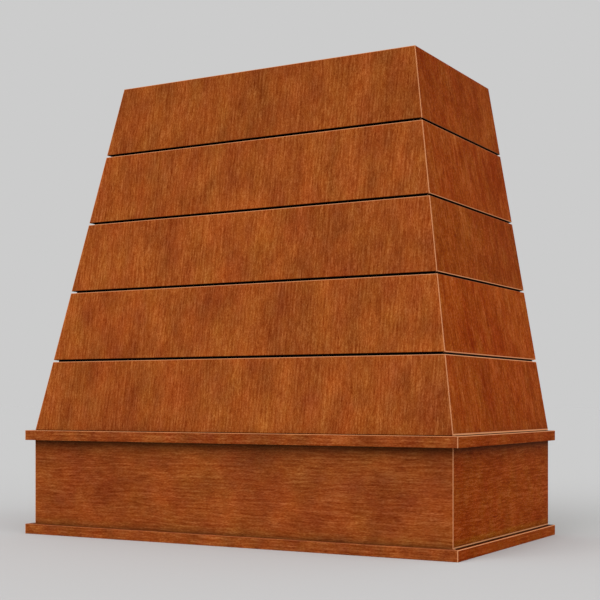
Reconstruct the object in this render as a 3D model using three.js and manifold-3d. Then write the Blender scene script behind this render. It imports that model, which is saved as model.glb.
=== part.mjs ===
// A wooden range hood cover: a plain apron box between two square trims, and above it a tapered
// body whose front and two sides are clad with courses of horizontal boards.
//
// Millimetres, +Z up. The wall is the plane y = WALL_Y, the room is towards -Y, and the origin
// is the middle of the bounding box's floor.

import * as THREE from 'three';
import { mergeVertices } from 'three/addons/utils/BufferGeometryUtils.js';
import Module from 'manifold-3d';

const wasm = await Module();
wasm.setup();

// ---------------------------------------------------------------- driving dimensions

// overall
const BOX_WIDTH = 914.4;            // across the apron, 36 in
const BOX_DEPTH = 493.7;            // apron face to wall, so 20 in over the front trim
const HEIGHT = 914.4;               // 36 in
const APRON_HEIGHT = 209.55;        // 8 1/4 in, where the taper starts
const TAPER_INSET = 127.8;          // how far front and sides lean in at the top

// cladding
const COURSES = 5;
const BOARD_THICKNESS = 7.6;
const GROOVE_WIDTH = 4.2;           // shadow line between two courses
const PANEL_THICKNESS = 12.7;       // 1/2 in plywood behind the boards

// apron and trims
const APRON_THICKNESS = 19.05;
const TRIM_HEIGHT = 19.84;          // 25/32 in
const TRIM_PROJECTION = 14.3;       // 9/16 in proud of the apron

// inner frame of the apron
const DECK_THICKNESS = 19.05;       // ring that closes the apron's top and carries the taper
const DECK_RIM = 50.8;
const LINER_RECESS = 38.1;          // underside of the liner panel above the bottom rim
const LINER_THICKNESS = 19.05;
const LINER_CUTOUT_WIDTH = 723.9;   // 28 1/2 x 14 in, for a hood insert
const LINER_CUTOUT_DEPTH = 355.6;
const LEDGER_SIZE = 19.05;          // square strips that the liner panel is screwed up to
const BLOCK_LEG = 38.1;             // glue blocks in the apron's front corners
const BACK_RAIL_HEIGHT = 127;
const RAIL_THICKNESS = 19.05;

// inner frame of the taper
const HIP_LEG = 34.9;               // battens inside the two front hips
const STILE_THICKNESS = 19.05;
const STILE_DEPTH = 38.1;           // battens along the rear edges of the side panels
const CLEAT_SIZE = 19.05;           // square strips under the top panel
const TOP_RECESS = 12.7;            // top panel below the rim
const TOP_THICKNESS = 19.05;
const TOP_PLAY = 0.8;               // room round the top panel, which slides in from the back
const DUCT_CUTOUT = 228.6;          // 9 in square, for an 8 in duct
const DUCT_FROM_WALL = 178;         // cut-out's centre to the wall
const HANGING_RAIL_HEIGHT = 88.9;
const WALL_CLEAT_HEIGHT = 63.5;
const WALL_CLEAT_END_PLAY = 12;     // room to lower the hood over the cleat

// cut-outs and wall fixings
const CUTOUT_RADIUS = 12.7;
const STUD_SPACING = 406.4;         // 16 in between wall studs
const WALL_HOLE_RADIUS = 3.25;

// countersunk wood screws
const SCREW_LENGTH = 31.75;
const SCREW_HEAD_RADIUS = 4.2;
const SCREW_SHANK_RADIUS = 2.1;
const SCREW_TIP = 6;
const SCREW_SINK = 0.3;             // head below the face it is driven into
const SCREW_SPREAD = 0.56;          // share of a strip's length between its two screws
const SCREW_CLEARANCE = 0.3;

// fits
const SEAT_GAP = 0.3;               // between two pieces that are glued or fixed face to face

// facets
const ROUND_SIDES = 14;
const CORNER_STEPS = 4;
const CUT_OVERRUN = 5;              // how far a cutting tool passes the faces it opens

// ---------------------------------------------------------------- derived places

const WALL_Y = (BOX_DEPTH + TRIM_PROJECTION) / 2;
const FRONT_Y = WALL_Y - BOX_DEPTH;
const HALF_WIDTH = BOX_WIDTH / 2;
const TAPER_HEIGHT = HEIGHT - APRON_HEIGHT;
const LEAN = Math.atan2(TAPER_INSET, TAPER_HEIGHT);
const SLOPE_LENGTH = TAPER_HEIGHT / Math.cos(LEAN);
const MITRE_SETBACK = SEAT_GAP / Math.SQRT2;

// Level distance from the cladding's outer face to whatever is seated inside the taper.
const PANEL_DEPTH = BOARD_THICKNESS + SEAT_GAP;
const INNER_FACE = (PANEL_DEPTH + PANEL_THICKNESS + SEAT_GAP) / Math.cos(LEAN);
const APRON_INNER = APRON_THICKNESS + SEAT_GAP;
const RAIL_INNER = RAIL_THICKNESS + SEAT_GAP;

const TOP_PANEL_TOP = HEIGHT - TOP_RECESS;
const TOP_PANEL_BOTTOM = TOP_PANEL_TOP - TOP_THICKNESS;
const FRAME_FOOT = APRON_HEIGHT + SEAT_GAP;
const FRAME_TOP = TOP_PANEL_BOTTOM - SEAT_GAP;
const LINER_TOP = LINER_RECESS + LINER_THICKNESS;
const LEDGER_BOTTOM = LINER_TOP + SEAT_GAP;
const LEDGER_TOP = LEDGER_BOTTOM + LEDGER_SIZE;

// How far a leaning face has moved inwards at height z.
const leanAt = (z) => (z - APRON_HEIGHT) * Math.tan(LEAN);

// ---------------------------------------------------------------- materials

const wood = (color, roughness) => new THREE.MeshStandardMaterial({ color, roughness, metalness: 0 });
const stainedBoard = () => wood(0x9c4a1c, 0.42);
const stainedApron = () => wood(0x8a3d18, 0.42);
const stainedTrim = () => wood(0x93431a, 0.4);
const plywood = () => wood(0xc9a877, 0.75);
const poplar = () => wood(0xcdb98c, 0.7);
const screwSteel = () => new THREE.MeshStandardMaterial({ color: 0xb8a060, roughness: 0.35, metalness: 1 });

// ---------------------------------------------------------------- solids

// A closed solid between two rings of matching points. Seen from the end ring, both run
// counter-clockwise and are convex.
function loft(startRing, endRing) {
  const count = startRing.length;
  const index = [];
  for (let i = 1; i < count - 1; i += 1) {
    index.push(0, i + 1, i);
    index.push(count, count + i, count + i + 1);
  }
  for (let i = 0; i < count; i += 1) {
    const next = (i + 1) % count;
    index.push(i, next, count + next, i, count + next, count + i);
  }
  const geometry = new THREE.BufferGeometry().setFromPoints([...startRing, ...endRing]);
  geometry.setIndex(index);
  return geometry;
}

function toManifold(geometry) {
  const bare = geometry.clone();
  bare.deleteAttribute('normal');
  bare.deleteAttribute('uv');
  const merged = mergeVertices(bare, 1e-4);
  const vertProperties = new Float32Array(merged.attributes.position.array);
  const triVerts = new Uint32Array(merged.index.array);
  return new wasm.Manifold(new wasm.Mesh({ numProp: 3, vertProperties, triVerts }));
}

function fromManifold(solid) {
  const mesh = solid.getMesh();
  const geometry = new THREE.BufferGeometry();
  geometry.setAttribute('position', new THREE.BufferAttribute(new Float32Array(mesh.vertProperties), 3));
  geometry.setIndex(new THREE.BufferAttribute(new Uint32Array(mesh.triVerts), 1));
  return geometry;
}

function cut(geometry, tools) {
  const result = tools.reduce((solid, tool) => solid.subtract(toManifold(tool)), toManifold(geometry));
  return fromManifold(result);
}

// A level rectangle with rounded corners, as a path to cut out of a sheet.
function roundedRectangle(path, centreY, width, depth) {
  const x = width / 2;
  const y = depth / 2;
  const r = CUTOUT_RADIUS;
  const quarter = Math.PI / 2;
  path.absarc(x - r, centreY + y - r, r, 0, quarter, false);
  path.absarc(-x + r, centreY + y - r, r, quarter, 2 * quarter, false);
  path.absarc(-x + r, centreY - y + r, r, 2 * quarter, 3 * quarter, false);
  path.absarc(x - r, centreY - y + r, r, 3 * quarter, 4 * quarter, false);
  path.closePath();
  return path;
}

function extrudeUp(shape, bottom, top) {
  const options = { depth: top - bottom, bevelEnabled: false, curveSegments: CORNER_STEPS };
  return new THREE.ExtrudeGeometry(shape, options).translate(0, 0, bottom);
}

// A rectangular sheet with a rounded rectangular cut-out, lying level.
function cutOutSheet(sheet, cutout) {
  const shape = new THREE.Shape();
  shape.moveTo(-sheet.halfWidth, sheet.front);
  shape.lineTo(sheet.halfWidth, sheet.front);
  shape.lineTo(sheet.halfWidth, sheet.back);
  shape.lineTo(-sheet.halfWidth, sheet.back);
  shape.closePath();
  shape.holes.push(roundedRectangle(new THREE.Path(), cutout.centreY, cutout.width, cutout.depth));
  return extrudeUp(shape, sheet.bottom, sheet.top);
}

// A solid whose level outline changes with height: outlineAt(z) is a convex ring of [x, y].
function standing(outlineAt, bottom, top) {
  const ring = (z) => outlineAt(z).map(([x, y]) => new THREE.Vector3(x, y, z));
  return loft(ring(bottom), ring(top));
}

const mirrored = (outlineAt) => (z) => outlineAt(z).map(([x, y]) => [-x, y]).reverse();

// ---------------------------------------------------------------- the four faces of the hood

// Each face has a frame of its own: x runs along it, y points into the hood from the apron's
// outer face (or from the wall), z is up. On the sides, x = 0 is the front corner.
const betweenCorners = (corner) => [-HALF_WIDTH + corner, HALF_WIDTH - corner];
const cornerToWall = (corner, wall) => [corner, BOX_DEPTH - wall];
const wallToCorner = (corner, wall) => [wall - BOX_DEPTH, -corner];
const FACES = {
  front: { x: 0, y: FRONT_Y, turn: 0, ends: betweenCorners },
  right: { x: HALF_WIDTH, y: FRONT_Y, turn: Math.PI / 2, ends: cornerToWall },
  left: { x: -HALF_WIDTH, y: FRONT_Y, turn: -Math.PI / 2, ends: wallToCorner },
  back: { x: 0, y: WALL_Y, turn: Math.PI, ends: betweenCorners },
};
const CLAD_FACES = ['front', 'left', 'right'];

function faceGroup(name) {
  const group = new THREE.Group();
  group.position.set(FACES[name].x, FACES[name].y, 0);
  group.rotation.z = FACES[name].turn;
  return group;
}

// The hood's own frame from a face's.
function toHood(name, x, y) {
  const spot = new THREE.Vector3(x, y, 0).applyAxisAngle(new THREE.Vector3(0, 0, 1), FACES[name].turn);
  return [spot.x + FACES[name].x, spot.y + FACES[name].y];
}

// A strip that runs along a face. profile is a convex ring of [y, z]. The setbacks say how far
// each profile point stops short of the hood's corner and of the wall.
function strip(name, profile, cornerSetback, wallSetback = () => 0) {
  const endsAt = (y, z) => FACES[name].ends(cornerSetback(y, z), wallSetback(y, z));
  const ring = (end) => profile.map(([y, z]) => new THREE.Vector3(endsAt(y, z)[end], y, z));
  return loft(ring(0), ring(1));
}

// Mitred at the front corners: a 45 degree vertical plane, which holds for leaning pieces too
// because front and sides lean alike.
const mitre = (y) => y + MITRE_SETBACK;

const rectangle = (y0, y1, z0, z1) => [[y0, z0], [y1, z0], [y1, z1], [y0, z1]];

// ---------------------------------------------------------------- tapered cladding

// A point of the leaning wall's section: s up the slope from the taper's foot, n inwards,
// square to the face.
function slopePoint(s, n) {
  const y = s * Math.sin(LEAN) + n * Math.cos(LEAN);
  const z = APRON_HEIGHT + s * Math.cos(LEAN) - n * Math.sin(LEAN);
  return [y, z];
}

// Where an edge cuts the slope: square to the face at a distance up it, or level at a height.
const squareCut = (s) => () => s;
const levelCut = (z) => (n) => (z - APRON_HEIGHT) / Math.cos(LEAN) + n * Math.tan(LEAN);

function leaningLayer(outer, inner, lowerCut, upperCut) {
  return [
    slopePoint(lowerCut(outer), outer),
    slopePoint(lowerCut(inner), inner),
    slopePoint(upperCut(inner), inner),
    slopePoint(upperCut(outer), outer),
  ];
}

// One board of a course. Course 1 is the lowest. Its edges are square to its face, but where it
// stands on the apron and where it ends at the rim it is cut level.
function boardProfile(course) {
  const pitch = SLOPE_LENGTH / COURSES;
  const foot = (course - 1) * pitch + GROOVE_WIDTH / 2;
  const head = course * pitch - GROOVE_WIDTH / 2;
  const lowerCut = course === 1 ? levelCut(FRAME_FOOT) : squareCut(foot);
  const upperCut = course === COURSES ? levelCut(HEIGHT) : squareCut(head);
  return leaningLayer(0, BOARD_THICKNESS, lowerCut, upperCut);
}

function panelProfile() {
  const inner = PANEL_DEPTH + PANEL_THICKNESS;
  return leaningLayer(PANEL_DEPTH, inner, levelCut(FRAME_FOOT), levelCut(HEIGHT));
}

// ---------------------------------------------------------------- screws

// Turned profile of a countersunk screw, its head's top at z = 0 and its point down. grow makes
// the hole for it, which also reaches above the head.
function screwProfile(grow = 0, above = 0) {
  const head = SCREW_HEAD_RADIUS + grow;
  const shank = SCREW_SHANK_RADIUS + grow;
  const points = [
    [0, -SCREW_LENGTH - grow],
    [shank, SCREW_TIP - SCREW_LENGTH],
    [shank, shank - head],
    [head, 0],
  ];
  if (above > 0) points.push([head, above]);
  points.push([0, above]);
  return points.map(([radius, z]) => new THREE.Vector2(radius, z));
}

function turned(profile) {
  return new THREE.LatheGeometry(profile, ROUND_SIDES).rotateX(Math.PI / 2);
}

const screwHole = () => turned(screwProfile(SCREW_CLEARANCE, CUT_OVERRUN));

// Screws that go down through the top panel, or up through the liner panel.
const TOP_SCREWS = { headZ: TOP_PANEL_TOP - SCREW_SINK, flip: 0 };
const LINER_SCREWS = { headZ: LINER_RECESS + SCREW_SINK, flip: Math.PI };

function placed(geometry, set, x, y) {
  return geometry.rotateX(set.flip).translate(x, y, set.headZ);
}

// Where the screws of one strip lie along it: one or two, spread about the strip's middle.
function screwSpots(name, y, z, cornerSetback, wallSetback) {
  const [start, end] = FACES[name].ends(cornerSetback(y, z), wallSetback(y, z));
  const middle = (start + end) / 2;
  const reach = (end - start) * SCREW_SPREAD / 2;
  const offsets = name === 'front' || name === 'back' ? [-reach, reach] : [0];
  return offsets.map((offset) => ({ name, x: middle + offset, y }));
}

const holesInFace = (set, spots) => spots.map(({ x, y }) => placed(screwHole(), set, x, y));
const holesInHood = (set, spots) => (
  spots.map(({ name, x, y }) => placed(screwHole(), set, ...toHood(name, x, y)))
);

// ---------------------------------------------------------------- assembly

const hood = new THREE.Group();
const groups = Object.fromEntries(Object.keys(FACES).map((name) => [name, faceGroup(name)]));
Object.values(groups).forEach((group) => hood.add(group));

function add(parent, name, geometry, material) {
  geometry.computeVertexNormals();
  const mesh = new THREE.Mesh(geometry, material);
  mesh.name = name;
  parent.add(mesh);
}

function addCladding(name) {
  for (let course = 1; course <= COURSES; course += 1) {
    const board = strip(name, boardProfile(course), mitre);
    add(groups[name], `${name}_board_${course}`, board, stainedBoard());
  }
  add(groups[name], `${name}_backing_panel`, strip(name, panelProfile(), mitre), plywood());
}

function addApron(name) {
  const panel = rectangle(0, APRON_THICKNESS, 0, APRON_HEIGHT);
  const trim = (bottom) => rectangle(-TRIM_PROJECTION, -SEAT_GAP, bottom, bottom + TRIM_HEIGHT);
  const upper = APRON_HEIGHT - TRIM_HEIGHT;
  add(groups[name], `${name}_apron`, strip(name, panel, mitre), stainedApron());
  add(groups[name], `${name}_lower_trim`, strip(name, trim(0), mitre), stainedTrim());
  add(groups[name], `${name}_upper_trim`, strip(name, trim(upper), mitre), stainedTrim());
}

// Strips glued inside the apron, to which the liner panel is screwed from below.
function ledgerSetbacks(name) {
  const butted = APRON_INNER + LEDGER_SIZE + SEAT_GAP;
  const side = name === 'left' || name === 'right';
  return [() => (side ? butted : APRON_INNER), () => RAIL_INNER + LEDGER_SIZE + SEAT_GAP];
}

function addLedger(name) {
  const inner = name === 'back' ? RAIL_INNER : APRON_INNER;
  const setbacks = ledgerSetbacks(name);
  const spots = screwSpots(name, inner + LEDGER_SIZE / 2, LEDGER_BOTTOM, ...setbacks);
  const profile = rectangle(inner, inner + LEDGER_SIZE, LEDGER_BOTTOM, LEDGER_TOP);
  const ledger = cut(strip(name, profile, ...setbacks), holesInFace(LINER_SCREWS, spots));
  add(groups[name], `${name}_liner_ledger`, ledger, poplar());
  return spots;
}

function addLinerPanel(spots) {
  const front = FRONT_Y + APRON_INNER;
  const back = WALL_Y - RAIL_INNER;
  const halfWidth = HALF_WIDTH - APRON_INNER;
  const sheet = { halfWidth, front, back, bottom: LINER_RECESS, top: LINER_TOP };
  const cutout = { centreY: (front + back) / 2, width: LINER_CUTOUT_WIDTH, depth: LINER_CUTOUT_DEPTH };
  const panel = cut(cutOutSheet(sheet, cutout), holesInHood(LINER_SCREWS, spots));
  add(hood, 'liner_panel', panel, plywood());
}

function addDeck() {
  const front = FRONT_Y + APRON_INNER;
  const halfWidth = HALF_WIDTH - APRON_INNER;
  const sheet = { halfWidth, front, back: WALL_Y, bottom: APRON_HEIGHT - DECK_THICKNESS, top: APRON_HEIGHT };
  const centreY = (front + WALL_Y) / 2;
  const cutout = { centreY, width: 2 * (halfWidth - DECK_RIM), depth: WALL_Y - front - 2 * DECK_RIM };
  add(hood, 'apron_deck', cutOutSheet(sheet, cutout), plywood());
}

function addCornerBlocks() {
  const corner = [HALF_WIDTH - APRON_INNER, FRONT_Y + APRON_INNER];
  const outline = () => [corner, [corner[0], corner[1] + BLOCK_LEG], [corner[0] - BLOCK_LEG, corner[1]]];
  const bottom = LEDGER_TOP + SEAT_GAP;
  const top = APRON_HEIGHT - DECK_THICKNESS - SEAT_GAP;
  add(hood, 'right_corner_block', standing(outline, bottom, top), poplar());
  add(hood, 'left_corner_block', standing(mirrored(outline), bottom, top), poplar());
}

// Three-cornered battens in the front hips, where the front panel meets the side panels.
function addHipBattens() {
  const outlineAt = (z) => {
    const x = HALF_WIDTH - INNER_FACE - leanAt(z);
    const y = FRONT_Y + INNER_FACE + leanAt(z);
    return [[x, y], [x, y + HIP_LEG], [x - HIP_LEG, y]];
  };
  add(hood, 'right_hip_batten', standing(outlineAt, FRAME_FOOT, FRAME_TOP), poplar());
  add(hood, 'left_hip_batten', standing(mirrored(outlineAt), FRAME_FOOT, FRAME_TOP), poplar());
}

function addStiles() {
  const outlineAt = (z) => {
    const x = HALF_WIDTH - INNER_FACE - leanAt(z);
    return [[x - STILE_THICKNESS, WALL_Y - STILE_DEPTH], [x, WALL_Y - STILE_DEPTH], [x, WALL_Y],
      [x - STILE_THICKNESS, WALL_Y]];
  };
  add(hood, 'right_rear_stile', standing(outlineAt, FRAME_FOOT, FRAME_TOP), poplar());
  add(hood, 'left_rear_stile', standing(mirrored(outlineAt), FRAME_FOOT, FRAME_TOP), poplar());
}

// Strips glued to the backing panels, on which the top panel lies.
function addTopCleat(name) {
  const bottom = FRAME_TOP - CLEAT_SIZE;
  const seat = (z) => INNER_FACE + leanAt(z);
  const profile = [[seat(bottom), bottom], [seat(bottom) + CLEAT_SIZE, bottom],
    [seat(FRAME_TOP) + CLEAT_SIZE, FRAME_TOP], [seat(FRAME_TOP), FRAME_TOP]];
  const setbacks = [(y, z) => seat(z) + HIP_LEG + SEAT_GAP, () => STILE_DEPTH + SEAT_GAP];
  const spots = screwSpots(name, seat(FRAME_TOP) + CLEAT_SIZE / 2, FRAME_TOP, ...setbacks);
  const cleat = cut(strip(name, profile, ...setbacks), holesInFace(TOP_SCREWS, spots));
  add(groups[name], `${name}_top_cleat`, cleat, poplar());
  return spots;
}

// Holes through a rail for the two wall studs that it crosses, at height z.
function studHoles(z) {
  const length = RAIL_THICKNESS + 2 * CUT_OVERRUN;
  return [-STUD_SPACING / 2, STUD_SPACING / 2].map((x) => {
    const hole = new THREE.CylinderGeometry(WALL_HOLE_RADIUS, WALL_HOLE_RADIUS, length, ROUND_SIDES);
    return hole.translate(x, RAIL_THICKNESS / 2, z);
  });
}

// Two rails that hook together: the wall's half and the hood's half meet on a 45 degree bevel,
// which draws the hood against the wall as it is lowered.
function addHangingRail() {
  const joint = FRAME_TOP - HANGING_RAIL_HEIGHT;
  const half = RAIL_THICKNESS / 2;
  const profile = [
    [0, joint - half],
    [RAIL_THICKNESS, joint + half],
    [RAIL_THICKNESS, FRAME_TOP],
    [0, FRAME_TOP],
  ];
  const setback = (y, z) => INNER_FACE + leanAt(z) + STILE_THICKNESS + SEAT_GAP;
  const spots = screwSpots('back', half, FRAME_TOP, setback, () => 0);
  const rail = cut(strip('back', profile, setback), holesInFace(TOP_SCREWS, spots));
  add(groups.back, 'hanging_rail', rail, poplar());
  return spots;
}

function addWallCleat() {
  const joint = FRAME_TOP - HANGING_RAIL_HEIGHT - SEAT_GAP * Math.SQRT2;
  const bottom = joint - WALL_CLEAT_HEIGHT;
  const half = RAIL_THICKNESS / 2;
  const profile = [[0, bottom], [RAIL_THICKNESS, bottom], [RAIL_THICKNESS, joint + half], [0, joint - half]];
  const setback = () => INNER_FACE + leanAt(joint + half) + STILE_THICKNESS + WALL_CLEAT_END_PLAY;
  const cleat = cut(strip('back', profile, setback), studHoles(bottom + WALL_CLEAT_HEIGHT / 2));
  add(groups.back, 'wall_cleat', cleat, poplar());
}

function addBackRail() {
  const profile = rectangle(0, RAIL_THICKNESS, 0, BACK_RAIL_HEIGHT);
  const clearOfLedger = (LEDGER_TOP + BACK_RAIL_HEIGHT) / 2;
  const rail = cut(strip('back', profile, () => APRON_INNER), studHoles(clearOfLedger));
  add(groups.back, 'apron_back_rail', rail, poplar());
}

function addTopPanel(spots) {
  const outlineAt = (z) => {
    const inset = INNER_FACE + leanAt(z) + TOP_PLAY;
    const x = HALF_WIDTH - inset;
    return [[-x, FRONT_Y + inset], [x, FRONT_Y + inset], [x, WALL_Y], [-x, WALL_Y]];
  };
  const opening = roundedRectangle(new THREE.Shape(), WALL_Y - DUCT_FROM_WALL, DUCT_CUTOUT, DUCT_CUTOUT);
  const duct = extrudeUp(opening, TOP_PANEL_BOTTOM - CUT_OVERRUN, TOP_PANEL_TOP + CUT_OVERRUN);
  const sheet = standing(outlineAt, TOP_PANEL_BOTTOM, TOP_PANEL_TOP);
  add(hood, 'top_panel', cut(sheet, [duct, ...holesInHood(TOP_SCREWS, spots)]), plywood());
}

function addScrews(prefix, set, spots) {
  spots.forEach(({ name, x, y }, i) => {
    const screw = placed(turned(screwProfile()), set, ...toHood(name, x, y));
    add(hood, `${prefix}_screw_${i + 1}`, screw, screwSteel());
  });
}

CLAD_FACES.forEach(addCladding);
CLAD_FACES.forEach(addApron);
addBackRail();
addDeck();
addCornerBlocks();
const linerSpots = Object.keys(FACES).flatMap(addLedger);
addLinerPanel(linerSpots);
addScrews('liner', LINER_SCREWS, linerSpots);

addHipBattens();
addStiles();
addWallCleat();
const topSpots = [...CLAD_FACES.flatMap(addTopCleat), ...addHangingRail()];
addTopPanel(topSpots);
addScrews('top', TOP_SCREWS, topSpots);

export default hood;
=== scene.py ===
# %% [markdown]
# # A wooden range hood cover
#
# The real thing is joiner's work: fifteen thin boards on three leaning walls, a plain apron below
# them, and two square trim strips that wrap round the apron. All of it is stained a warm cherry
# under a flat lacquer. The frame already holds every piece at its true size, so this lesson is
# about the finish: slightly rounded arrises, wood that is dyed and not painted, and edges where the
# dye has been rubbed through. Highlights on the arrises, and shade in the corners, in the grooves
# and on the sides, are painted into the colour.
#
# The first cell loads the frame.

# %% Load the frame
import math

import bpy
import numpy as np
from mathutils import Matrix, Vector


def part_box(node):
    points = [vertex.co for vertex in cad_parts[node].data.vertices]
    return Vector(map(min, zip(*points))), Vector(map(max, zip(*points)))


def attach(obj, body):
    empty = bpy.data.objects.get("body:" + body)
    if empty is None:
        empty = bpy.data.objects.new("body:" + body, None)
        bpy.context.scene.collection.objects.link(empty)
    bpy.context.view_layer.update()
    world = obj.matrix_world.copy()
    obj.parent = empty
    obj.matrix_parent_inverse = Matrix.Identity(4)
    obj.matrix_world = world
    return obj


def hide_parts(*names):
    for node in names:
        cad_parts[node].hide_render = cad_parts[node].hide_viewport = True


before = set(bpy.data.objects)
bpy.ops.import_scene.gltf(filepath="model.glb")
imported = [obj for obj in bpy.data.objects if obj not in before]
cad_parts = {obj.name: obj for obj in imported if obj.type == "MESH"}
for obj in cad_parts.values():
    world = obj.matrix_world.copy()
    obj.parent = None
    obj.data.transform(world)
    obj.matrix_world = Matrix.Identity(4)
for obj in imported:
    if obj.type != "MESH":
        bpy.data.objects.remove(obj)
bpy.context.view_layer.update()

MM = 0.001

# %% [markdown]
# ## Camera
#
# The hood was photographed by a level camera that stood below its middle and about thirty degrees
# round to the right. A level camera keeps the plumb lines plumb. Raising the picture with lens
# shift, as an architectural photographer does, keeps them so while the whole hood stays in view.

# %% Camera
CAMERA_PLACE = (1.2764, -2.2061, 0.2663)
CAMERA_TURN = 29.545                 # degrees to the left of looking straight at the front
CAMERA_LENS = 75.68                  # mm
CAMERA_SENSOR = 36.0                 # mm, its width
CAMERA_RISE = 0.1704                 # lens shift, as a share of the picture's width

camera = bpy.data.objects.new("camera", bpy.data.cameras.new("camera"))
bpy.context.scene.collection.objects.link(camera)
camera.location = CAMERA_PLACE
camera.rotation_euler = (math.radians(90), 0, math.radians(CAMERA_TURN))
camera.data.sensor_width = CAMERA_SENSOR
camera.data.lens = CAMERA_LENS
camera.data.shift_y = CAMERA_RISE
bpy.context.scene.camera = camera
print("camera:", round(camera.location.length, 3), "m from the origin")

# %% [markdown]
# ## Light
#
# Lacquered wood shows its colour best in broad, even light. A pale room on every side gives most
# of it, and two wide suns add direction: the key comes from above the front, so that the trims
# throw a soft shadow on the apron, and a weak one keeps the right side from going dull. Suns
# light the floor evenly all the way to the horizon, which lamps near the hood would not.

# %% Colour helper, room and suns
def paint(red, green, blue):
    """A colour picked on screen, 0 to 255, as the linear colour that a shader wants. Screens
    follow a power curve with a short straight piece near black, and this undoes it."""
    screen = np.array([red, green, blue]) / 255
    linear = np.where(screen <= 0.04045, screen / 12.92, ((screen + 0.055) / 1.055) ** 2.4)
    return (*linear.tolist(), 1.0)


ROOM = paint(204, 204, 204)
SUNS = {                             # towards the sun, strength, width in degrees
    "key_sun": ((-0.12, -0.80, 0.92), 1.55, 55),
    "side_sun": ((0.95, -0.25, 0.70), 0.75, 70),
}

world = bpy.data.worlds.new("pale_room")
world.use_nodes = True
world.node_tree.nodes["Background"].inputs["Color"].default_value = ROOM
world.node_tree.nodes["Background"].inputs["Strength"].default_value = 1.0
bpy.context.scene.world = world
bpy.context.scene.view_settings.view_transform = "Standard"


def add_sun(name, towards, strength, width):
    """A sun in the direction towards. Returns how much it adds to a white floor."""
    lamp = bpy.data.lights.new(name, "SUN")
    lamp.energy = strength
    lamp.angle = math.radians(width)
    sun = bpy.data.objects.new(name, lamp)
    x, y, z = np.array(towards) / np.linalg.norm(towards)
    sun.rotation_euler = (math.acos(z), 0, math.atan2(x, -y))
    bpy.context.scene.collection.objects.link(sun)
    return float(strength * z / math.pi)


floor_light = ROOM[0] + sum(add_sun(name, *sun) for name, sun in SUNS.items())
print("light on the floor, where 1 shows a colour as written:", round(floor_light, 3))

# %% [markdown]
# ## Small helpers for node trees
#
# Every material below is a tree of nodes. Short helpers keep its code readable: one places a node
# and fills or links its sockets, and the rest are the few nodes that are used over and over. A
# node group is a recipe that several materials share, each with its own values.

# %% Node helpers
def place(tree, kind, inputs=None, **settings):
    """Adds a node. settings are its own options; inputs maps a socket to a value, or to the
    output that feeds it. Returns the node."""
    made = tree.nodes.new(kind)
    for option, value in settings.items():
        setattr(made, option, value)
    for socket, value in (inputs or {}).items():
        if isinstance(value, bpy.types.NodeSocket):
            tree.links.new(value, made.inputs[socket])
        else:
            made.inputs[socket].default_value = value
    return made


def maths(tree, operation, *values):
    """A Math node's output."""
    return place(tree, "ShaderNodeMath", dict(enumerate(values)), operation=operation).outputs[0]


def vectors(tree, operation, *values):
    """A Vector Math node's output."""
    made = place(tree, "ShaderNodeVectorMath", dict(enumerate(values)), operation=operation)
    return made.outputs[0]


def mixed(tree, share, first, second, mode="MIX"):
    """Two colours laid over each other. A Mix node has its colours on sockets 6 and 7."""
    sockets = {0: share, 6: first, 7: second}
    return place(tree, "ShaderNodeMix", sockets, data_type="RGBA", blend_type=mode).outputs[2]


def ranged(tree, value, low, high, to_low=0.0, to_high=1.0, kind="LINEAR"):
    """value, carried from one range to another and kept inside it."""
    sockets = {0: value, 1: low, 2: high, 3: to_low, 4: to_high}
    return place(tree, "ShaderNodeMapRange", sockets, interpolation_type=kind).outputs[0]


def parts_of(tree, vector):
    """A vector's x, y and z, as three outputs."""
    return place(tree, "ShaderNodeSeparateXYZ", {0: vector}).outputs


def vector_of(tree, *parts):
    """A vector made of its x, y and z. The ones left out are 0."""
    return place(tree, "ShaderNodeCombineXYZ", dict(enumerate(parts))).outputs[0]


CLOUDY = (0.3, 0.7)                  # the range that noise seldom leaves


def noise(tree, at, scale=1.0, detail=2.0, roughness=0.5):
    """Cloudy noise about a middle of 0.5."""
    sockets = {"Vector": at, "Scale": scale, "Detail": detail, "Roughness": roughness}
    return place(tree, "ShaderNodeTexNoise", sockets).outputs[0]


def centred(tree, value, times, middle=0.0):
    """A noise mask as a swing about a new middle, times its contrast."""
    return maths(tree, "MULTIPLY_ADD", maths(tree, "SUBTRACT", value, 0.5), times, middle)


# %% Group and material helpers
def new_group(name, inputs, outputs):
    """An empty node group. inputs maps a name to its default, outputs maps a name to its kind.
    Returns the group, what comes in and what goes out."""
    group = bpy.data.node_groups.new(name, "ShaderNodeTree")
    for socket, default in inputs.items():
        kind = "NodeSocketVector" if isinstance(default, tuple) else "NodeSocketFloat"
        made = group.interface.new_socket(socket, in_out="INPUT", socket_type=kind)
        made.default_value = default
    for socket, kind in outputs.items():
        group.interface.new_socket(socket, in_out="OUTPUT", socket_type=kind)
    incoming = place(group, "NodeGroupInput").outputs
    outgoing = place(group, "NodeGroupOutput").inputs
    return group, incoming, outgoing


def use(tree, group, inputs):
    """Places a group in a material with this material's own values. Returns its outputs."""
    return place(tree, "ShaderNodeGroup", inputs, node_tree=group).outputs


def new_material(name):
    """A material with its Principled BSDF. Returns the material, its tree and the shader."""
    material = bpy.data.materials.new(name)
    material.use_nodes = True
    return material, material.node_tree, material.node_tree.nodes["Principled BSDF"]


def read(tree, attribute, output="Vector"):
    """A value that the mesh itself carries."""
    return place(tree, "ShaderNodeAttribute", attribute_name=attribute).outputs[output]


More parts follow.
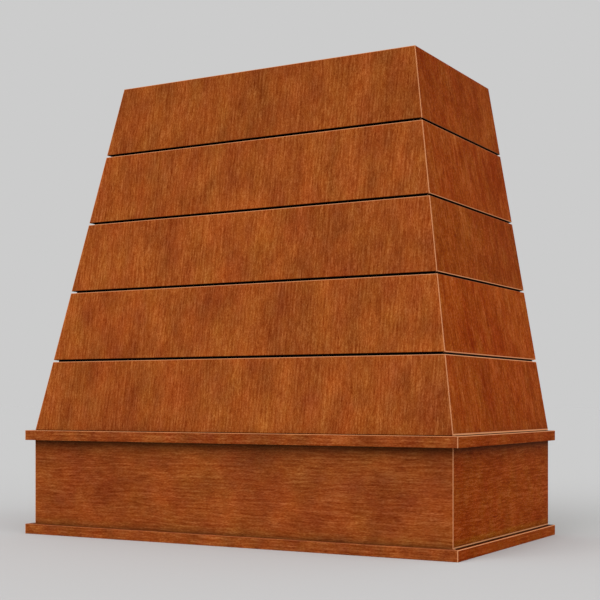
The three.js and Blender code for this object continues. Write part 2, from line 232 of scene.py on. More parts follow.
def surfaced(tree, shader, cloud, height, roughness, relief, gloss):
    """Gives a wood's shader its surface. cloud carries the roughness from its first value to its
    second, height raises the surface through a Bump node whose relief is a strength and a
    distance, and gloss is how strongly it mirrors."""
    tree.links.new(ranged(tree, cloud, *CLOUDY, *roughness), shader.inputs["Roughness"])
    bump = {"Height": height, "Strength": relief[0], "Distance": relief[1]}
    tree.links.new(place(tree, "ShaderNodeBump", bump).outputs[0], shader.inputs["Normal"])
    shader.inputs["Specular IOR Level"].default_value = gloss


# %% [markdown]
# ## What stained wood looks like
#
# Close up, stained wood is a bundle of short fibres, a few millimetres wide, with longer streaks
# between them that wander a little. Further back, the eye sees clouds, patches that took more
# stain than their neighbours, and other patches that are redder or more golden. Growth lines run
# through it all, a few millimetres apart, and bend round small eyes where a twig once grew. Closer
# still there are pores, short dark dashes along the grain. A photograph wrapped round the boards
# could show all that, but not on edges and not at every distance. So the wood is worked out in
# depth: the pattern fills space, and each board cuts through it. The group takes a place in the
# wood in metres, as across, depth and along, and gives back masks that each material uses.

# %% Wood grain group
GRAIN_LAYERS = {                     # width and length as shares of a streak's, and how much it adds
    "streaks": (1.00, 1.00, 0.22),
    "fibres": (0.60, 0.24, 0.33),
    "flecks": (0.31, 0.05, 0.45),
}
WANDER_WIDTH, WANDER_LENGTH = 70 * MM, 220 * MM    # over which the grain wanders sideways
GROWTH_LINES = 0.021                 # how much they add
GROWTH_DRIFT = 1.6                   # how many lines they may shift by, to and fro
DRIFT_WIDTH, DRIFT_LENGTH = 30 * MM, 160 * MM      # over which they shift
EYE_WIDTH, EYE_LENGTH = 40 * MM, 70 * MM
EYE_NOISE = (0.60, 0.80)             # where its noise begins to be an eye, and where it is one
EYE_BEND = 1.5                       # how many lines an eye pushes aside
EYE_GLOW = 0.05                      # how much lighter its cloud is
BROAD_CLOUDS = 4.4                   # times the size of the small ones
RUDDY_CLOUDS = 1.3                   # the same
ELSEWHERE = (3.1, 1.7, 0.4)          # metres away, so that redness doesn't follow the clouds
PORE_WIDTH, PORE_LENGTH = 0.6 * MM, 12 * MM
PORE_NOISE = (0.60, 0.72)            # as for the eyes


def build_grain():
    """Grain adds up noise in three stretches, all of it shifted sideways by a slower one, and a
    sine wave that counts the growth lines. Clouds is the mean of a small and a broad cloud, a bit
    lighter at the eyes. Ruddy is a third cloud, and Pores is 1 in a pore and 0 beside it."""
    grain, at, out = new_group(
        "wood_grain",
        {"Place": (0.0, 0.0, 0.0), "Streak Width": 0.004, "Streak Length": 0.05,
         "Cloud Size": 0.035, "Cloud Length": 0.056, "Wander": 0.012, "Line Spacing": 0.0072},
        dict.fromkeys(("Grain", "Clouds", "Ruddy", "Pores"), "NodeSocketFloat"))

    def stretched(source, width, length):
        return vectors(grain, "DIVIDE", source, vector_of(grain, width, width, length))

    slow = noise(grain, stretched(at["Place"], WANDER_WIDTH, WANDER_LENGTH))
    sideways = centred(grain, slow, at["Wander"])
    wandering = vectors(grain, "ADD", at["Place"], vector_of(grain, sideways, sideways))

    total = 0.0
    for wide, long, share in GRAIN_LAYERS.values():
        width = maths(grain, "MULTIPLY", at["Streak Width"], wide)
        length = maths(grain, "MULTIPLY", at["Streak Length"], long)
        layer = noise(grain, stretched(wandering, width, length))
        total = maths(grain, "MULTIPLY_ADD", layer, share, total)

    spots = noise(grain, stretched(at["Place"], EYE_WIDTH, EYE_LENGTH), detail=0.0)
    eyes = ranged(grain, spots, *EYE_NOISE, kind="SMOOTHSTEP")
    drifting = noise(grain, stretched(wandering, DRIFT_WIDTH, DRIFT_LENGTH), detail=1.0)
    across, depth, _ = parts_of(grain, wandering)
    lines = maths(grain, "DIVIDE", maths(grain, "ADD", across, depth), at["Line Spacing"])
    lines = maths(grain, "MULTIPLY_ADD", drifting, GROWTH_DRIFT, lines)
    lines = maths(grain, "MULTIPLY_ADD", eyes, EYE_BEND, lines)
    growth = maths(grain, "SINE", maths(grain, "MULTIPLY", lines, 2 * math.pi))
    grain.links.new(maths(grain, "MULTIPLY_ADD", growth, GROWTH_LINES, total), out["Grain"])

    def cloudy(source, times, **texture):
        width = maths(grain, "MULTIPLY", at["Cloud Size"], times)
        length = maths(grain, "MULTIPLY", at["Cloud Length"], times)
        return noise(grain, stretched(source, width, length), **texture)

    small = cloudy(at["Place"], 1.0, detail=3.0, roughness=0.55)
    broad = cloudy(at["Place"], BROAD_CLOUDS)
    clouds = maths(grain, "MULTIPLY", maths(grain, "ADD", small, broad), 0.5)
    grain.links.new(maths(grain, "MULTIPLY_ADD", eyes, EYE_GLOW, clouds), out["Clouds"])
    away = vectors(grain, "ADD", at["Place"], ELSEWHERE)
    grain.links.new(ranged(grain, cloudy(away, RUDDY_CLOUDS, detail=3.0), *CLOUDY), out["Ruddy"])

    dashes = noise(grain, stretched(wandering, PORE_WIDTH, PORE_LENGTH), detail=1.0)
    grain.links.new(ranged(grain, dashes, *PORE_NOISE, kind="SMOOTHSTEP"), out["Pores"])
    return grain


WOOD_GRAIN = build_grain()
print("wood_grain:", len(WOOD_GRAIN.nodes), "nodes")

# %% [markdown]
# ## Rubbed arrises and painted highlights
#
# Before the lacquer goes on, the maker takes the stain off the sharpest edges with a fine pad.
# That leaves the thin salmon lines at the hips and the corners of the trims, and it is what makes
# plain boards look made. The same lines are also painted highlights, drawn lighter where an arris
# catches the light. Each mesh carries how strong they are: the share of stain rubbed off and of
# painted highlight at an arris, falling in a straight line to nothing, and below, a millimetre or
# two away. There are three values, for the long arrises and the two ends, and the group takes the
# strongest.

# %% Rubbed edge and painted highlight group
RUB_AND_HIGHLIGHT_PATCHES = 90.0                   # per metre, because a pad never presses evenly


def build_rubbed_and_highlit():
    """Mask is the strongest of the three, rub and painted highlight alike, made uneven by noise and
    kept from 0 to 1.
    """
    rubbed_and_highlit, at, out = new_group(
        "rubbed_and_highlit_edge",
        {"Wear And Highlight": (0.0, 0.0, 0.0), "Place": (0.0, 0.0, 0.0), "Unevenness": 0.4},
        {"Mask": "NodeSocketFloat"})
    long, first, last = parts_of(rubbed_and_highlit, at["Wear And Highlight"])
    most = maths(rubbed_and_highlit, "MAXIMUM", maths(rubbed_and_highlit, "MAXIMUM", long, first), last)
    patches = noise(rubbed_and_highlit, at["Place"], scale=RUB_AND_HIGHLIGHT_PATCHES, detail=3.0)
    share = centred(rubbed_and_highlit, patches, at["Unevenness"], 1.0)
    rubbed_and_highlit.links.new(ranged(rubbed_and_highlit, maths(rubbed_and_highlit, "MULTIPLY", most, share), 0.0, 1.0), out["Mask"])
    return rubbed_and_highlit


RUBBED_AND_HIGHLIT_EDGE = build_rubbed_and_highlit()
print("rubbed_and_highlit_edge:", len(RUBBED_AND_HIGHLIT_EDGE.nodes), "nodes")

# %% [markdown]
# ## Painted shade in the corners
#
# Shade is painted into the colour where the light can't reach: under the upper trim, above the
# lower one, at the foot of the taper, and on top of the trims beside the wall. The meshes carry two
# distances in metres, to what stands over a point and to what lies under it, and the painted shade
# fades with each like a shadow would. Where it is too thin to darken the wood, the wood is painted
# lighter and yellower, a little way above the foot of the aprons. On the sides a pale line runs
# along the foot of the wall, rubbed stain and painted highlight, with a black line of painted
# shadow beside it in the joint. A third value, 1 on the sides and 0 in front, switches both on.

# %% Painted corner shade group
FAR = 9.0                            # metres, where no corner is near


def build_painted_corner_shade():
    """Mask is the painted shade, the stronger of two fadings, each a depth times e to the power of
    minus distance over reach. The tint where it is thin, and Joint, the painted shadow in the joint,
    are even up to where they begin to fade. Line is the pale line, stain taken off and painted
    highlight, full over its inner half and fading over the rest."""
    painted_corner_shade, at, out = new_group(
        "gathered_painted_corner_shade",
        {"Corners": (FAR, FAR, 0.0),
         "Over Reach": 0.016, "Over Depth": 0.80, "Under Reach": 0.005, "Under Depth": 0.35,
         "Joint Depth": 0.0, "Joint Begin": 0.006, "Joint End": 0.014,
         "Line Wear": 1.0, "Line Height": 0.0010, "Line Half": 0.0014,
         "Thin Tint": 0.0, "Film Begin": 0.010, "Film End": 0.016},
        dict.fromkeys(("Mask", "Thin Tint", "Joint", "Line"), "NodeSocketFloat"))
    over, under, lined = parts_of(painted_corner_shade, at["Corners"])

    def fading(distance, reach, depth):
        reaches = maths(painted_corner_shade, "DIVIDE", maths(painted_corner_shade, "MAXIMUM", distance, 0.0), reach)
        left = maths(painted_corner_shade, "EXPONENT", maths(painted_corner_shade, "MULTIPLY", reaches, -1.0))
        return maths(painted_corner_shade, "MULTIPLY", left, depth)

    def even(begin, end, depth):
        return ranged(painted_corner_shade, under, at[begin], at[end], at[depth], 0.0, kind="SMOOTHSTEP")

    above = fading(over, at["Over Reach"], at["Over Depth"])
    below = fading(under, at["Under Reach"], at["Under Depth"])
    painted_corner_shade.links.new(maths(painted_corner_shade, "MAXIMUM", above, below), out["Mask"])
    painted_corner_shade.links.new(even("Film Begin", "Film End", "Thin Tint"), out["Thin Tint"])
    joint = even("Joint Begin", "Joint End", "Joint Depth")
    painted_corner_shade.links.new(maths(painted_corner_shade, "MULTIPLY", joint, lined), out["Joint"])
    off_line = maths(painted_corner_shade, "ABSOLUTE", maths(painted_corner_shade, "SUBTRACT", under, at["Line Height"]))
    line = maths(painted_corner_shade, "MINIMUM", ranged(painted_corner_shade, off_line, 0.0, at["Line Half"], 2.0, 0.0), 1.0)
    line_highlight = maths(painted_corner_shade, "MULTIPLY", line, at["Line Wear"])
    painted_corner_shade.links.new(maths(painted_corner_shade, "MULTIPLY", line_highlight, lined), out["Line"])
    return painted_corner_shade


GATHERED_PAINTED_SHADE = build_painted_corner_shade()
print("gathered_painted_corner_shade:", len(GATHERED_PAINTED_SHADE.nodes), "nodes")

# %% [markdown]
# ## The stain itself
#
# A stain is transparent, so the wood decides the colour. Its two patterns do that differently. A
# pale fibre scatters more light of every colour alike, so on screen it is a grey step away from
# its neighbour. A light cloud is a place that drank less stain, so the golden wood shows through.
# End grain drinks so much that it is nearly black, and in the grooves that black is also painted
# shade. One function makes all the finishes of the hood. The boards are veneer with the grain
# running up, and the rest is solid wood. The sides are darker, redder copies of the front's
# finishes with a coarser figure, whose dark clouds are redder and whose light ones are greyer.
# Their darker, redder colour is painted shade: the side faces get less light and less sheen than
# the front. Each piece also carries how light its own leaf of wood is, as a number that multiplies
# its colour. The lacquer is flat: with a plain sheen, the leaning boards would mirror the pale room
# as a grey veil over their colour.

# %% Stained wood
# end grain and pores, and the painted shade in the grooves and side joints
END_GRAIN_AND_SHADE = paint(9, 4, 3)
# rubbed stain on the arrises, and their painted highlight
RUBBED_AND_HIGHLIT_WOOD = paint(232, 160, 112)
# the colour of the painted shade in the corners
PAINTED_SHADE = paint(44, 32, 18)
# lightens and yellows the wood where the painted shade is thin
THIN_PAINTED_SHADE = (1.14, 1.58, 1.40, 1.0)
GOLDEN, RUDDY = (0.95, 1.05, 1.0, 1.0), (1.05, 0.95, 1.0, 1.0)
FRONT_DRINKS = ((0.70, 0.60, 0.74, 1.0), (1.35, 1.48, 1.30, 1.0))    # drank more, drank less
SIDE_DRINKS = ((0.80, 0.59, 0.56, 1.0), (1.20, 1.47, 1.60, 1.0))
FRONT_FIBRES = np.array([1.0, 1.0, 0.85])          # how far red, green and blue swing
SIDE_FIBRES = np.array([0.97, 0.92, 1.05])
GRAIN_CONTRAST = 2.5
PORE_DEPTH = 0.2                     # how dark a pore is
PORE_RELIEF = -0.8                   # and how deep, where the grain's height is 1
LACQUER_ROUGHNESS = (0.52, 0.40)
LACQUER_RELIEF = (0.35, 0.15 * MM)
LACQUER_GLOSS = 0.004


def toned(tree, share, tones):
    """A colour between the deep, middle and light tone."""
    ramp = place(tree, "ShaderNodeValToRGB", {0: share})
    ramp.color_ramp.elements[0].color = tones[0]
    ramp.color_ramp.elements[1].color = tones[2]
    ramp.color_ramp.elements.new(0.5).color = tones[1]
    return ramp.outputs[0]


def fibre_tones(middle, swing, step=FRONT_FIBRES):
    """The deep, middle and light tone of fibres that lie swing away on screen from the middle."""
    return [paint(*np.maximum(middle + side * swing * step, 1)) for side in (-1, 0, 1)]


def stained(name, tones, streak, cloud, wander, clouding, painted_corner_shade, drinks=FRONT_DRINKS):
    """Stained and lacquered wood. tones are its deep, middle and light colours, streak and cloud
    are widths and lengths, clouding is the contrast of the clouds, the next argument holds the
    inputs of the painted shade group that differ from the usual, and drinks are the tints of wood
    that drank more and less of the stain."""
    material, tree, shader = new_material(name)
    inside = read(tree, "grain")
    wood = use(tree, WOOD_GRAIN, {
        "Place": inside, "Streak Width": streak[0], "Streak Length": streak[1],
        "Cloud Size": cloud[0], "Cloud Length": cloud[1], "Wander": wander})
    fibres = toned(tree, centred(tree, wood["Grain"], GRAIN_CONTRAST, 0.5), tones)
    hue = mixed(tree, wood["Ruddy"], GOLDEN, RUDDY)
    drunk = mixed(tree, centred(tree, wood["Clouds"], clouding, 0.5), *drinks)
    tint = mixed(tree, 1.0, mixed(tree, 1.0, hue, drunk, "MULTIPLY"), read(tree, "leaf"), "MULTIPLY")
    tinted = mixed(tree, 1.0, fibres, tint, "MULTIPLY")
    porous = mixed(tree, maths(tree, "MULTIPLY", wood["Pores"], PORE_DEPTH), tinted, END_GRAIN_AND_SHADE)
    # Painted shade in the corners and in the side joints, and lighter, yellower wood where it is thin
    corner = use(tree, GATHERED_PAINTED_SHADE, {"Corners": read(tree, "corners"), **painted_corner_shade})
    thinly_tinted = mixed(tree, corner["Thin Tint"], porous, THIN_PAINTED_SHADE, "MULTIPLY")
    corner_shaded = mixed(tree, corner["Mask"], thinly_tinted, PAINTED_SHADE)
    black = maths(tree, "MAXIMUM", read(tree, "end_grain_and_shade", "Fac"), corner["Joint"])
    grain_and_shade_blackened = mixed(tree, black, corner_shaded, END_GRAIN_AND_SHADE)
    # Rubbed stain and painted highlights on the arrises, and the painted highlight line of the sides
    pale_lines = use(tree, RUBBED_AND_HIGHLIT_EDGE, {"Wear And Highlight": read(tree, "wear_and_highlight"), "Place": inside})["Mask"]
    pale_lines = maths(tree, "MAXIMUM", pale_lines, corner["Line"])
    tree.links.new(mixed(tree, pale_lines, grain_and_shade_blackened, RUBBED_AND_HIGHLIT_WOOD), shader.inputs["Base Color"])

    height = maths(tree, "MULTIPLY_ADD", wood["Pores"], PORE_RELIEF, wood["Grain"])
    surfaced(tree, shader, wood["Clouds"], height, LACQUER_ROUGHNESS, LACQUER_RELIEF, LACQUER_GLOSS)
    return material


# %% The finishes of the front, and their shaded copies on the sides
# How far and how deep the shade is painted on each piece, and where the pale painted line lies
BOARD_PAINTED_SHADE = {"Under Depth": 0.12, "Line Height": 0.0020, "Line Half": 0.0020}
FRONT_APRON_PAINTED_SHADE = {"Under Reach": 0.007, "Under Depth": 0.50, "Thin Tint": 0.25}
SIDE_APRON_PAINTED_SHADE = {"Under Reach": 0.004, "Under Depth": 0.50, "Thin Tint": 1.0}
TRIM_PAINTED_SHADE = {"Over Reach": 0.005, "Over Depth": 0.75, "Under Depth": 0.0, "Joint Depth": 0.88,
              "Line Wear": 0.0}
# The side finishes are the front ones, made darker and redder as painted shade
FINISHES = {                         # each with its name and the rest as stained() takes them
    "front_board": stained("front_boards", fibre_tones((147, 71, 26), 37),
                           (0.0042, 0.062), (0.034, 0.060), 0.010, 2.3, BOARD_PAINTED_SHADE),
    "side_board": stained("side_boards", fibre_tones((148, 62, 7), 38, SIDE_FIBRES),
                          (0.0084, 0.070), (0.030, 0.054), 0.012, 2.9, BOARD_PAINTED_SHADE, SIDE_DRINKS),
    "front_apron": stained("front_apron", fibre_tones((141, 67, 26), 34),
                           (0.0038, 0.105), (0.036, 0.048), 0.014, 2.5, FRONT_APRON_PAINTED_SHADE),
    "side_apron": stained("side_aprons", fibre_tones((145, 59.5, 5), 41, SIDE_FIBRES),
                          (0.0038, 0.090), (0.040, 0.032), 0.014, 2.6, SIDE_APRON_PAINTED_SHADE, SIDE_DRINKS),
    "front_trim": stained("front_trims", fibre_tones((141, 67, 26), 39),
                          (0.0038, 0.090), (0.030, 0.030), 0.008, 2.7, TRIM_PAINTED_SHADE),
    "side_trim": stained("side_trims", fibre_tones((143, 58, 5), 38, SIDE_FIBRES),
                         (0.0038, 0.090), (0.030, 0.030), 0.008, 2.6, TRIM_PAINTED_SHADE, SIDE_DRINKS),
}
print("stains:", sorted(FINISHES))

# %% [markdown]
# ## Reading a strip from the frame
#
# Boards, aprons and trims are all the same kind of thing: a four-sided section carried along one
# wall of the hood, mitred at the front corners and cut square at the wall. Rather than measure
# each one again, the code reads its section and its ends from the frame's own mesh. Every wall
# has three directions: along it, into the hood, and up.

# %% Sections of the strips
WALLS = {                            # along the wall, and into the hood
    "front": ((1, 0), (0, 1)),
    "right": ((0, 1), (-1, 0)),
    "left": ((0, -1), (1, 0)),
}
ALIKE = 6                            # decimals of a metre to which two places count as one


def wall_of(node):
    """The wall that a piece belongs to, which is the first word of its name."""
    return node.split("_")[0]


def is_mitred(end):
    """Whether an end is a mitre. Its line slopes by 1 or -1 there, and by 0 on a square end."""
    return abs(end[0]) > 0.5


def strip_in_frame(node):
    """The section's four corners as (inwards, up), counter-clockwise from the outer foot as seen
    against the wall's direction, and the straight line, place = slope * inwards + start, on which
    each end stops."""
    points = np.empty(len(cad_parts[node].data.vertices) * 3, np.float32)
    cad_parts[node].data.vertices.foreach_get("co", points)
    points = points.reshape(-1, 3).astype(float)
    along, inwards = (points[:, :2] @ np.array(way, float) for way in WALLS[wall_of(node)])
    section = np.round(np.stack([inwards, points[:, 2]], 1), ALIKE)
    corners, which = np.unique(section, axis=0, return_inverse=True)
    starts = np.array([along[which.ravel() == i].min() for i in range(len(corners))])
    stops = np.array([along[which.ravel() == i].max() for i in range(len(corners))])
    ends = [np.polyfit(corners[:, 0], reach, 1) for reach in (starts, stops)]
    spokes = corners - corners.mean(0)
    return corners[np.argsort(np.arctan2(spokes[:, 1], spokes[:, 0]))], ends


corners, ends = strip_in_frame("right_board_1")
print("right_board_1 section, mm:", np.round(corners / MM, 1).tolist())
print("its ends:", [f"slope {slope:.2f}, start {start:.3f}" for slope, start in ends])

# %% [markdown]
# ## A rounded section, carried along the wall
#
# A knife-sharp edge never catches the light, so every arris gets a small radius. A Bevel modifier
# would do that too, but the finish also has to know how far each point is from an arris and how
# deep it lies in the wood. When the surface is worked out as a grid, one parameter going round
# the section and the other along the wall, those values come for free and are stored with it.

# %% Rounded outline
ARC_STEPS = 4
SIDE_STEPS = 6
RUB_AND_HIGHLIGHT_WIDTH = 0.7 * MM                 # how far a rubbed and painted-highlight strip reaches from its arris
UNRUBBED_AND_UNHIGHLIT = (0, 0)                    # no rub and no painted highlight beside an arris, on the face and on the edge


def rounded_outline(corners, radius, foot_wear_and_highlight, head_wear_and_highlight):
    """Goes once round the section. Each corner becomes an arc that touches both sides: its centre
    lies a radius inside them, and its angle is the corner's turn. Between arcs, points are
    crowded towards the arcs by a cosine. The share at the two outer arrises, on the face and on the
    edge, is both the stain taken off there and the painted highlight. It changes evenly over the arc
    and falls by 1 with every strip width from it, so more than 1 reaches further. Returns the points,
    this share, and a mark for those on arcs."""
    step_in = corners - np.roll(corners, 1, 0)
    step_in /= np.linalg.norm(step_in, axis=1)[:, None]
    step_out = np.roll(step_in, -1, 0)
    turn = np.arccos(np.clip((step_in * step_out).sum(1), -1, 1))
    setback = radius * np.tan(turn / 2)
    outward = np.stack([step_in[:, 1], -step_in[:, 0]], 1)
    begin = corners - step_in * setback[:, None]
    centre = begin - outward * radius
    angle = turn[:, None] * np.linspace(0, 1, ARC_STEPS + 1)
    arcs = (centre[:, None] + radius * (np.cos(angle)[..., None] * outward[:, None]
                                        + np.sin(angle)[..., None] * step_in[:, None]))
    share = (1 - np.cos(math.pi * np.arange(1, SIDE_STEPS) / SIDE_STEPS)) / 2
    leave, arrive = arcs[:, -1], np.roll(arcs[:, 0], -1, 0)
    sides = leave[:, None] + share[None, :, None] * (arrive - leave)[:, None]
    length = np.linalg.norm(arrive - leave, axis=1)[:, None]
    arriving = np.array([foot_wear_and_highlight[0], 0, 0, head_wear_and_highlight[1]])[:, None]
    leaving = np.array([foot_wear_and_highlight[1], 0, 0, head_wear_and_highlight[0]])[:, None]
    on_arcs = arriving + np.linspace(0, 1, ARC_STEPS + 1) * (leaving - arriving)
    before = leaving - share * length / RUB_AND_HIGHLIGHT_WIDTH
    behind = np.roll(arriving, -1, 0) - (1 - share) * length / RUB_AND_HIGHLIGHT_WIDTH
    points = np.concatenate([arcs, sides], 1).reshape(-1, 2)
    rub_and_highlight_share = np.concatenate([on_arcs, np.maximum(before, behind)], 1).ravel()
    marks = [np.full((4, ARC_STEPS + 1), True), np.full((4, SIDE_STEPS - 1), False)]
    return points, rub_and_highlight_share, np.concatenate(marks, 1).ravel()


# %% Carried strip
HIP_STEPS = 4
RUN_STEPS = 24
MITRE = 45                           # degrees


def carried_strip(corners, ends, radius, foot_wear_and_highlight, head_wear_and_highlight, end_wear_and_highlight):
    """The rounded outline at every station along the wall, as a grid. A mitred end is rounded too:
    at angle a of its arc, the outer face has moved in by radius * (1 - cos a), and the station
    stands radius * (cos a - sin a) from the mitre, measured along the wall."""
    outline, rub_and_highlight_share, on_arc = rounded_outline(corners, radius, foot_wear_and_highlight, head_wear_and_highlight)
    (foot, _, _, head) = corners
    outer = foot[0] + (head[0] - foot[0]) * (outline[:, 1] - foot[1]) / (head[1] - foot[1])
    depth = np.maximum(outline[:, 0] - outer, 0)

    angle = np.radians(np.linspace(MITRE, 0, HIP_STEPS, endpoint=False))
    none = np.empty(0)
    mitred = [is_mitred(end) for end in ends]
    clear = [radius if cut else 0.0 for cut in mitred]
    arc_in = [radius * (1 - np.cos(angle)) if cut else none for cut in mitred]
    arc_off = [radius * (np.cos(angle) - np.sin(angle)) if cut else none for cut in mitred]
    run = np.linspace(0, 1, RUN_STEPS + 1)
    inset = np.concatenate([arc_in[0], 0 * run, arc_in[1][::-1]])
    share = np.concatenate([0 * arc_in[0], run, 1 + 0 * arc_in[1]])
    off_start = np.concatenate([arc_off[0], clear[0] + 0 * run, clear[0] + 0 * arc_in[1]])
    off_stop = np.concatenate([clear[1] + 0 * arc_in[0], clear[1] + 0 * run, arc_off[1][::-1]])

    inwards = outer + np.maximum(depth, inset[:, None])
    first = ends[0][0] * inwards + ends[0][1] + off_start[:, None]
    last = ends[1][0] * inwards + ends[1][1] - off_stop[:, None]
    along = first + share[:, None] * (last - first)
    up = np.broadcast_to(outline[:, 1], along.shape)
    from_first = end_wear_and_highlight[0] - share[:, None] * (last - first) / RUB_AND_HIGHLIGHT_WIDTH
    from_last = end_wear_and_highlight[1] - (1 - share[:, None]) * (last - first) / RUB_AND_HIGHLIGHT_WIDTH
    wear_and_highlight_map = np.stack([np.broadcast_to(rub_and_highlight_share, along.shape), from_first, from_last], -1)
    smooth = (inset > 0)[:, None] | on_arc
    return along, inwards, up, np.broadcast_to(depth, along.shape), wear_and_highlight_map, smooth


# %% [markdown]
# ## From grid to mesh
#
# The grid closes on itself round the section and gets a cap at either end, so the strip is a
# solid with every face outwards. Flat sides stay flat shaded and only the arcs are smooth: shading
# a whole strip smooth would bend the light across faces that are dead flat.

# %% Closed mesh from a grid
def closed_mesh(name, grid, smooth_points):
    """grid is stations by points by 3, its rings counter-clockwise as seen from the far end."""
    stations, around = grid.shape[:2]
    mesh = bpy.data.meshes.new(name)
    ring = np.arange(around)
    after = (ring + 1) % around
    base = np.arange(stations - 1)[:, None] * around
    quads = np.stack([base + ring, base + after, base + around + after, base + around + ring], -1)
    faces = quads.reshape(-1, 4).tolist()
    faces.append(ring[::-1].tolist())
    faces.append((ring + (stations - 1) * around).tolist())
    mesh.from_pydata(grid.reshape(-1, 3).tolist(), [], faces)

    smooth = smooth_points[:-1] | smooth_points[1:]
    flags = np.concatenate([smooth.ravel(), [False, False]])
    mesh.polygons.foreach_set("use_smooth", flags)
    pairs = np.empty(len(mesh.edges) * 2, np.int32)
    mesh.edges.foreach_get("vertices", pairs)
    pairs = pairs.reshape(-1, 2)
    at_end = (pairs < around).all(1) | (pairs >= (stations - 1) * around).all(1)
    mesh.edges.foreach_set("use_edge_sharp", at_end)
    mesh.update()
    return mesh


def store(mesh, name, values, on_caps=None):
    """Keeps a value, or a vector, on every face corner of a mesh for its material to read. The
    two caps, which are the last faces, may get another value than the rings that they close."""
    kind, key = ("FLOAT_VECTOR", "vector") if values.shape[-1] == 3 else ("FLOAT", "value")
    owners = np.empty(len(mesh.loops), np.int32)
    mesh.loops.foreach_get("vertex_index", owners)
    kept = values.reshape(len(mesh.vertices), -1)[owners].astype(np.float32)
    if on_caps is not None:
        kept[-2 * values.shape[1]:] = on_caps
    mesh.attributes.new(name, kind, "CORNER").data.foreach_set(key, kept.ravel())


def in_hood(wall, along, inwards, up):
    """A wall's own directions turned back into the hood's."""
    way, inside = np.array(WALLS[wall], float)
    level = along[..., None] * way + inwards[..., None] * inside
    return np.concatenate([level, up[..., None]], -1)


# %% [markdown]
# ## Boards, aprons and trims
#
# Now the pieces themselves. Each board is cut from its own place in the veneer, so neighbours
# never repeat. Its grain runs up the slope, and so its edges in the grooves are end grain and
# drink the stain; their black is also painted shade in the grooves, so the top edge of the top
# course, which no groove shades, is not blackened. Apron and trims are cut along the grain. The pale
# arrises are rubbed stain and painted highlights, strongest where light catches them: hips and
# corners everywhere, the upper arrises of the trims and of the front boards, and on the side
# boards those at the grooves, the lower the harder. The black of a board's foot, painted shade of
# the groove beneath it, creeps a little way up its face.

# %% Build a stained strip
VENEER_LOT = 7                       # another number cuts every piece from another place
WOOD_REACH = 4.0                     # metres of wood each way that the pieces are cut from
# rub and painted highlight at the mitred hips
HIP_WEAR_AND_HIGHLIGHT = 0.9
DRINKING_AND_SHADING = 3.0                       # how fast an arris turns from face to black end grain and painted groove shade
SHADE_CREEP = 1.3 * MM               # how far the black of the foot edge, painted groove shade, creeps up the face
SKIN = 0.01                          # what still counts as the face, as a share of the radius
EDGE_ZONE = 20 * MM                  # the height in which a board's edge lies, however it leans
CAP_GRAIN = {"board": 0.0, "apron": 0.6, "trim": 0.6}    # how black the cut at the wall is
UPPER_TRIM_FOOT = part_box("front_upper_trim")[0].z
UPPER_TRIM_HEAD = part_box("front_upper_trim")[1].z
LOWER_TRIM_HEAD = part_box("front_lower_trim")[1].z
cut_from = np.random.default_rng(VENEER_LOT)


def add_piece(node, mesh):
    """Puts a finished mesh into the scene in place of its CAD node."""
    piece = bpy.data.objects.new(mesh.name, mesh)
    bpy.context.scene.collection.objects.link(piece)
    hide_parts(node)
    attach(piece, "root")
    return piece


def stained_strip(node, kind, radius, wear_and_highlight, leaf=1.0, over=None, under=None, black_head=True):
    """kind is board, apron or trim, and leaf how light its veneer or plank is. over and under are
    the heights of what stands over the face and lies under it. A trim has its joint beside it, so
    there both distances run from the joint over the trim's own top or underside."""
    corners, ends = strip_in_frame(node)
    side = wall_of(node) != "front"
    end_wear_and_highlight = [HIP_WEAR_AND_HIGHLIGHT if is_mitred(end) else 0.0 for end in ends]
    along, inwards, up, depth, wear_and_highlight_map, smooth = carried_strip(
        corners, ends, radius, *wear_and_highlight, end_wear_and_highlight)
    mesh = closed_mesh(node + "_stained", in_hood(wall_of(node), along, inwards, up), smooth)
    inside = (along, depth, up) if kind == "board" else (up, depth, along)
    store(mesh, "grain", np.stack(inside, -1) + cut_from.uniform(0, WOOD_REACH, 3))
    store(mesh, "wear_and_highlight", wear_and_highlight_map, on_caps=-1)
    store(mesh, "leaf", np.full((*up.shape, 3), leaf))

    # Distances for the painted shade in the corners, and a switch for the painted lines of the sides
    from_foot, from_head = up - up.min(), up.max() - up
    nowhere = np.full(up.shape, FAR)
    if kind == "trim":
        to_over = to_under = inwards.max() - inwards + np.minimum(from_foot, from_head)
    else:
        to_over = over - up if over else nowhere
        to_under = up - under if under else nowhere
    lined = np.full(up.shape, float(side))
    store(mesh, "corners", np.stack([to_over, to_under, lined], -1), on_caps=(FAR, FAR, 0))

    # Black end grain, also painted as the shade in the grooves; the head of the top course has none
    black = np.zeros(up.shape)
    if kind == "board":
        on_edge = (from_foot < EDGE_ZONE) | (from_head < EDGE_ZONE * black_head)
        shade_creeping = 1 - (up - corners[0][1]) / SHADE_CREEP
        drinking_and_shading = np.maximum(shade_creeping, DRINKING_AND_SHADING * depth / radius * on_edge)
        black = np.where(depth > SKIN * radius, drinking_and_shading, shade_creeping)
    store(mesh, "end_grain_and_shade", black[..., None], on_caps=CAP_GRAIN[kind])
    mesh.materials.append(FINISHES[f"{'side' if side else 'front'}_{kind}"])
    return add_piece(node, mesh)


# %% All the stained strips
COURSES = 5
BOARD_RADIUS, APRON_RADIUS, TRIM_RADIUS = 0.6 * MM, 0.5 * MM, 0.7 * MM
FRONT_LEAVES = (1.00, 0.98, 0.98, 0.98, 0.88)      # from the lowest course to the top
SIDE_LEAVES = (0.99, 1.06, 0.88, 0.95, 0.90)
